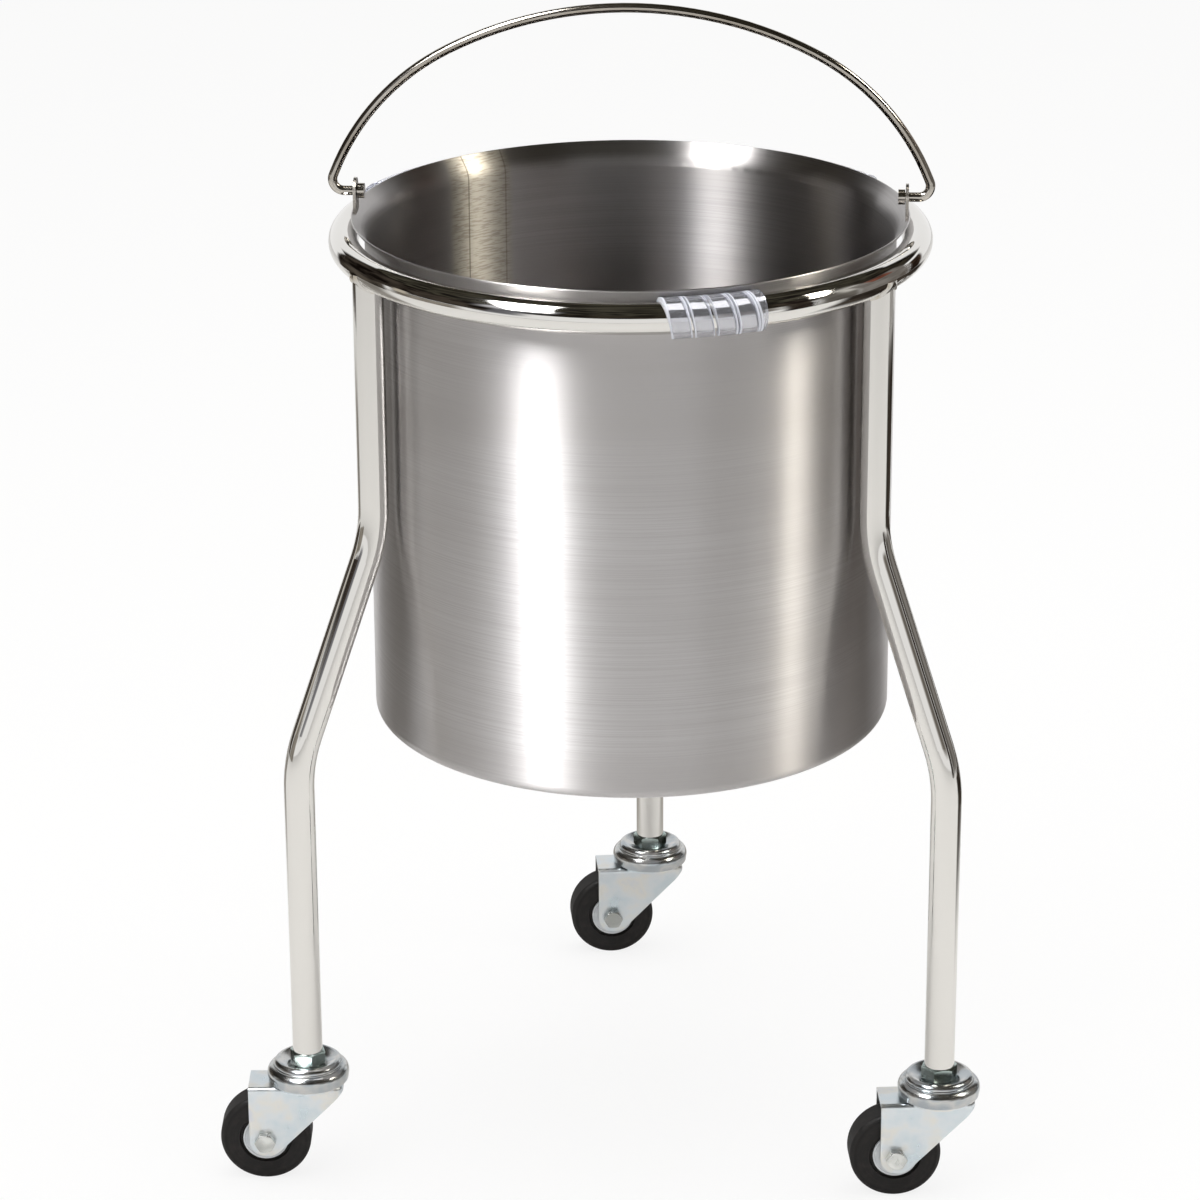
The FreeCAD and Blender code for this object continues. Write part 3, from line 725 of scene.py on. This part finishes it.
def fromSlotOf(material, place, side):  # how far round the coil a point is from the slot, 0 to half a turn
    # turned so that the wrap's start lies on x, well away from where the angle jumps
    start = clearWrap["azimuths"][side] - clearWrap["arc"] / 2
    turned = addNode(material, "Mapping", {"Vector": place, "Rotation": (0, 0, -math.radians(start))})
    parts = addNode(material, "SeparateXYZ", {0: turned}).outputs
    flat = addNode(material, "VectorMath", {0: turned, 1: (1, 1, 0)}, operation="MULTIPLY")
    reach = addNode(material, "VectorMath", {0: flat}, operation="LENGTH")
    outward = addNode(material, "Math", {0: reach, 1: -clearWrap["ringRadius"]}, operation="ADD")
    upward = addNode(material, "Math", {0: parts["Z"], 1: -clearWrap["ringHeight"]}, operation="ADD")
    along = turnsOf(material, parts["Y"], parts["X"], clearWrap["pitch"] / 1000 / clearWrap["ringRadius"])
    around = turnsOf(material, upward, outward, 2 * math.pi)
    coiled = addNode(material, "Math", {0: along, 1: around}, operation="ADD")
    # ten whole turns keep it above zero, and the half puts the slot in the middle
    phase = addNode(material, "Math", {0: coiled, 1: 10.5 - clearWrap["coilStart"] / 360}, operation="ADD")
    part = addNode(material, "Math", {0: phase}, operation="FRACT")
    centred = addNode(material, "Math", {0: part, 1: -0.5}, operation="ADD")
    return addNode(material, "Math", {0: centred}, operation="ABSOLUTE")


def clearPolyethylene(side):
    plastic = startMaterial("extrudedClearPolyethylene_" + side)
    place = addNode(plastic, "TexCoord").outputs["Object"]
    edge = clearWrap["cutWidth"] / clearWrap["pitch"]
    cut = addNode(plastic, "MapRange", {
        "Value": fromSlotOf(plastic, place, side),
        "From Min": edge * clearWrap["cutCore"], "From Max": edge, "To Min": 1.0, "To Max": 0.0,
    }, interpolation_type="SMOOTHSTEP")
    waves = addNode(plastic, "TexNoise", {
        "Vector": place, "Scale": perMillimetre(clearWrap["waveSize"]), "Detail": 2.0,
    })
    bump = addNode(plastic, "Bump", {"Height": waves, "Strength": 0.6, "Distance": clearWrap["waveHeight"] / 1000})
    glass = addNode(plastic, "BsdfPrincipled", {
        "Base Color": linearColour(clearWrap["clear"]), "Metallic": 0.0, "IOR": clearWrap["ior"],
        "Transmission Weight": 1.0, "Roughness": clearWrap["roughness"], "Normal": bump,
    })
    # the cut edges' white is partly haze and partly a painted highlight, standing in for the glints along the cut
    hazeAndPaintedHighlight = addNode(plastic, "BsdfDiffuse", {"Color": linearColour(clearWrap["hazeAndHighlightTint"])})
    share = addNode(plastic, "MapRange", {
        "Value": cut, "To Min": clearWrap["hazeShare"], "To Max": clearWrap["cutHazeAndHighlight"],
    })
    return finishMaterial(plastic, addNode(plastic, "MixShader", {0: share, 1: glass, 2: hazeAndPaintedHighlight}))


for wrapSide in clearWrap["azimuths"]:
    dress(["spiral_wrap_" + wrapSide], clearPolyethylene(wrapSide))
print("wraps cut")


# wheels: a moulded grey nylon hub with a soft gloss, in a moulded black rubber tyre that is nearly matt and dusty

tyre = {
    "dust": [(0.45, "#120F0E"), (0.75, "#1F1A18")],   # from clean black to the faint brown dust that rubber gathers
    "dustSize": 4,           # mm
    "dustHeight": 0.35,      # beside the mould's marks
    "roughness": (0.5, 0.66),
    "ior": 1.52,
    "specular": 0.3,         # carbon black dulls its sheen
    "ringSpacing": 1.6,      # mm, turning marks of the mould, drawn coarser than real so that they show
    "ringHeight": 0.05,      # mm
}
hub = {
    "mottle": [(0.35, "#C8CCCF"), (0.65, "#D6D9DB")],
    "mottleSize": 6,         # mm
    "grain": 0.6,            # mm
    "grainHeight": 0.03,     # mm
    "roughness": 0.42,
    "ior": 1.53,
}


def wheelPoint(material, corner):  # coordinates with the wheel's centre at zero and its axle along x
    joint = joints["wheel_spin_" + corner]
    turn = math.atan2(joint["axis"][1], joint["axis"][0])
    place = addNode(material, "TexCoord").outputs["Object"]
    return addNode(material, "Mapping", {
        "Vector": place, "Location": joint["pos_m"], "Rotation": (0, 0, turn),
    }, vector_type="TEXTURE")


def mouldedRubber(corner):
    rubber = startMaterial("mouldedBlackRubber_" + corner)
    point = wheelPoint(rubber, corner)
    flat = addNode(rubber, "VectorMath", {0: point, 1: (0, 1, 1)}, operation="MULTIPLY")
    reach = addNode(rubber, "VectorMath", {0: flat}, operation="LENGTH")
    ringsOut = addNode(rubber, "Math", {0: reach, 1: perMillimetre(tyre["ringSpacing"])}, operation="MULTIPLY")
    rings = addNode(rubber, "TexNoise", {"W": ringsOut, "Scale": 1.0, "Detail": 1.0}, noise_dimensions="1D")
    dust = addNode(rubber, "TexNoise", {"Vector": point, "Scale": perMillimetre(tyre["dustSize"]), "Detail": 5.0})
    height = addNode(rubber, "Math", {0: dust, 1: tyre["dustHeight"], 2: rings}, operation="MULTIPLY_ADD")
    bump = addNode(rubber, "Bump", {"Height": height, "Strength": 0.6, "Distance": tyre["ringHeight"] / 1000})
    tone = addNode(rubber, "ValToRGB", {"Fac": dust}, tyre["dust"])
    low, high = tyre["roughness"]
    rough = addNode(rubber, "MapRange", {"Value": rings, **noiseSpan, "To Min": low, "To Max": high})
    skin = addNode(rubber, "BsdfPrincipled", {
        "Base Color": tone, "Metallic": 0.0, "IOR": tyre["ior"], "Specular IOR Level": tyre["specular"],
        "Roughness": rough, "Normal": bump,
    })
    return finishMaterial(rubber, skin)


def mouldedNylon(corner):
    nylon = startMaterial("mouldedGreyNylon_" + corner)
    point = wheelPoint(nylon, corner)
    mottle = addNode(nylon, "TexNoise", {"Vector": point, "Scale": perMillimetre(hub["mottleSize"]), "Detail": 4.0})
    grain = addNode(nylon, "TexNoise", {"Vector": point, "Scale": perMillimetre(hub["grain"]), "Detail": 2.0})
    tone = addNode(nylon, "ValToRGB", {"Fac": mottle}, hub["mottle"])
    bump = addNode(nylon, "Bump", {"Height": grain, "Strength": 0.3, "Distance": hub["grainHeight"] / 1000})
    skin = addNode(nylon, "BsdfPrincipled", {
        "Base Color": tone, "Metallic": 0.0, "IOR": hub["ior"], "Roughness": hub["roughness"], "Normal": bump,
    })
    return finishMaterial(nylon, skin)


for corner in corners:
    dress(["wheel_tyre_" + corner], mouldedRubber(corner))
    dress(["wheel_hub_" + corner], mouldedNylon(corner))
print("wheels moulded")


scene = bpy.context.scene
scene.view_settings.view_transform = "Standard"
